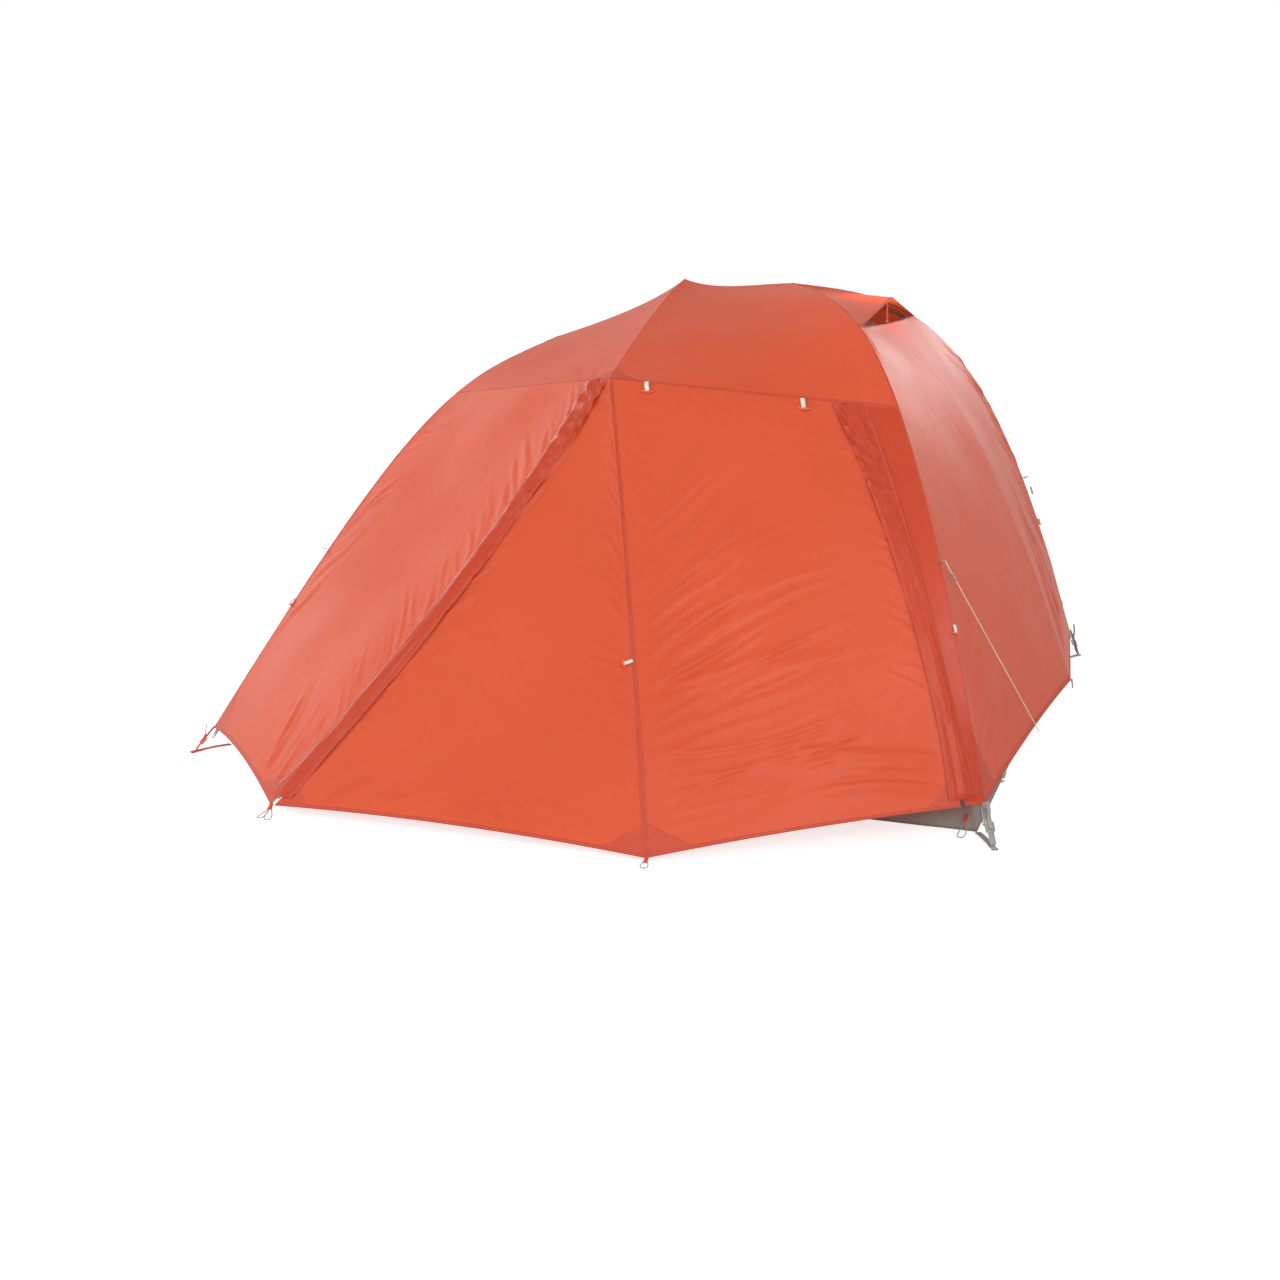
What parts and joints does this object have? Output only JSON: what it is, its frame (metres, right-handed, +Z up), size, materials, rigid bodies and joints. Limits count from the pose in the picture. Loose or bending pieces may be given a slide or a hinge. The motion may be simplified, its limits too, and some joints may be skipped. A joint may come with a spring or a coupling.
{
  "type": "free-standing camping tent",
  "caption": "Free-standing family camping tent with a hubbed pole frame, an inner tent, and a fly with side doors, staked vestibules and a propped end vent.",
  "frame": {"origin": "on the ground under the middle of the tent", "axes": "+X towards the steep vented end, -Y towards the front door, +Z up"},
  "size_m": [2.6392, 3.1068, 1.425],
  "materials": {
    "fly_fabric": "thin silicone-coated nylon ripstop",
    "flap_fabric": "double layer of the fly fabric",
    "zip": "coil zip and slider",
    "pole": "anodised",
    "ferrule": "bare",
    "grey_plastic": "moulded acetal",
    "orange_plastic": "moulded acetal",
    "inner_fabric": "breathable polyester and mesh",
    "inner_mesh": "insect mesh",
    "floor_fabric": "coated nylon",
    "grey_webbing": "woven webbing",
    "orange_webbing": "woven webbing",
    "cord": "braided cord"
  },
  "bodies": {
    "tent": {"brow_pole": "pole", "brow_swivel_hub": "grey_plastic", "corner_webbing_left": "orange_webbing", "corner_webbing_right": "grey_webbing", "floor_corner_straps": "grey_webbing", "floor_tub": "floor_fabric", "fly_back_roof_left": "fly_fabric", "fly_back_roof_right": "fly_fabric", "fly_back_side": "fly_fabric", "fly_back_strip": "fly_fabric", "fly_end_left": "fly_fabric", "fly_end_right": "fly_fabric", "fly_front_roof_left": "fly_fabric", "fly_front_roof_right": "fly_fabric", "fly_front_side": "fly_fabric", "fly_front_strip": "fly_fabric", "guyline_back": "cord", "guyline_front": "cord", "guyout_tabs": "grey_webbing", "hub_left": "grey_plastic", "hub_right": "grey_plastic", "inner_end_left": "inner_fabric", "inner_end_right": "inner_fabric", "inner_wall_back": "inner_fabric", "inner_wall_front": "inner_fabric", "leg_pole_back_left": "pole", "leg_pole_back_right": "pole", "leg_pole_front_left": "pole", "leg_pole_front_right": "pole", "leg_toggles": "orange_plastic", "pole_clips": "grey_plastic", "pole_ferrules": "ferrule", "pole_tips": "ferrule", "ridge_pole": "pole", "stake_loops": "cord", "vent_hood": "fly_fabric", "zip_chains": "zip"},
    "front_door": {"door_front_left": "fly_fabric", "door_front_right": "fly_fabric", "door_front_flaps": "flap_fabric"},
    "front_inner_door": {"inner_door_front": "inner_mesh"},
    "front_tensioner": {"tensioner_front": "grey_plastic"},
    "front_left_zip_slider": {"zip_slider_front_left": "zip"},
    "front_left_toggle": {"door_toggle_front_left": "orange_plastic"},
    "front_left_buckle": {"buckle_front_left": "orange_plastic"},
    "front_right_zip_slider": {"zip_slider_front_right": "zip"},
    "front_right_toggle": {"door_toggle_front_right": "orange_plastic"},
    "front_right_buckle": {"buckle_front_right": "grey_plastic"},
    "back_door": {"door_back_left": "fly_fabric", "door_back_right": "fly_fabric", "door_back_flaps": "flap_fabric"},
    "back_inner_door": {"inner_door_back": "inner_mesh"},
    "back_tensioner": {"tensioner_back": "grey_plastic"},
    "back_left_zip_slider": {"zip_slider_back_left": "zip"},
    "back_left_toggle": {"door_toggle_back_left": "orange_plastic"},
    "back_left_buckle": {"buckle_back_left": "orange_plastic"},
    "back_right_zip_slider": {"zip_slider_back_right": "zip"},
    "back_right_toggle": {"door_toggle_back_right": "orange_plastic"},
    "back_right_buckle": {"buckle_back_right": "grey_plastic"},
    "vent_prop": {"vent_strut": "grey_plastic"}
  },
  "joints": [
    {"name": "front_door_lift", "type": "hinge", "parent": "tent", "child": "front_door", "pos_m": [0.00042, -0.68584, 1.15383], "axis": [-0.9953, -0.0591, 0.0766], "range_deg": [0, 60]},
    {"name": "front_left_zip_slide", "type": "slide", "parent": "front_door", "child": "front_left_zip_slider", "axis": [0.504, 0.5271, 0.6841], "range_m": [0, 0.3]},
    {"name": "front_left_toggle_swing", "type": "hinge", "parent": "front_door", "child": "front_left_toggle", "pos_m": [0.11305, -0.68503, 1.14558], "axis": [-0.9953, -0.0591, 0.0766], "range_deg": [0, 60]},
    {"name": "front_left_buckle_slide", "type": "slide", "parent": "tent", "child": "front_left_buckle", "axis": [-0.4104, -0.5651, -0.7157], "range_m": [-0.012, 0.012]},
    {"name": "front_right_zip_slide", "type": "slide", "parent": "front_door", "child": "front_right_zip_slider", "axis": [-0.2645, 0.3303, 0.9061], "range_m": [0, 0.15]},
    {"name": "front_right_toggle_swing", "type": "hinge", "parent": "front_door", "child": "front_right_toggle", "pos_m": [0.57353, -0.65758, 1.10998], "axis": [-0.9953, -0.0591, 0.0766], "range_deg": [0, 60]},
    {"name": "front_right_buckle_slide", "type": "slide", "parent": "tent", "child": "front_right_buckle", "axis": [0.29, -0.3218, -0.9013], "range_m": [-0.012, 0.012]},
    {"name": "front_inner_door_swing", "type": "hinge", "parent": "tent", "child": "front_inner_door", "pos_m": [0.12682, -0.53891, 1.10444], "axis": [-0.0997, 0.4095, 0.9068], "range_deg": [0, 65]},
    {"name": "front_tensioner_slide", "type": "slide", "parent": "tent", "child": "front_tensioner", "axis": [0.3381, 0.5073, -0.7927], "range_m": [-0.03, 0.45]},
    {"name": "back_door_lift", "type": "hinge", "parent": "tent", "child": "back_door", "pos_m": [0.00042, 0.68584, 1.15383], "axis": [0.9953, -0.0591, -0.0766], "range_deg": [0, 60]},
    {"name": "back_left_zip_slide", "type": "slide", "parent": "back_door", "child": "back_left_zip_slider", "axis": [0.504, -0.5271, 0.6841], "range_m": [0, 0.3]},
    {"name": "back_left_toggle_swing", "type": "hinge", "parent": "back_door", "child": "back_left_toggle", "pos_m": [0.11305, 0.68503, 1.14558], "axis": [0.9953, -0.0591, -0.0766], "range_deg": [0, 60]},
    {"name": "back_left_buckle_slide", "type": "slide", "parent": "tent", "child": "back_left_buckle", "axis": [-0.4104, 0.5651, -0.7157], "range_m": [-0.012, 0.012]},
    {"name": "back_right_zip_slide", "type": "slide", "parent": "back_door", "child": "back_right_zip_slider", "axis": [-0.2645, -0.3303, 0.9061], "range_m": [0, 0.15]},
    {"name": "back_right_toggle_swing", "type": "hinge", "parent": "back_door", "child": "back_right_toggle", "pos_m": [0.57353, 0.65758, 1.10998], "axis": [0.9953, -0.0591, -0.0766], "range_deg": [0, 60]},
    {"name": "back_right_buckle_slide", "type": "slide", "parent": "tent", "child": "back_right_buckle", "axis": [0.29, 0.3218, -0.9013], "range_m": [-0.012, 0.012]},
    {"name": "back_inner_door_swing", "type": "hinge", "parent": "tent", "child": "back_inner_door", "pos_m": [0.12682, 0.53891, 1.10444], "axis": [0.0997, 0.4095, -0.9068], "range_deg": [0, 65]},
    {"name": "back_tensioner_slide", "type": "slide", "parent": "tent", "child": "back_tensioner", "axis": [0.3381, -0.5073, -0.7927], "range_m": [-0.03, 0.45]},
    {"name": "vent_prop_fold", "type": "hinge", "parent": "tent", "child": "vent_prop", "pos_m": [0.67278, 0, 1.29949], "axis": [0, 1, 0], "range_deg": [0, 75]}
  ]
}
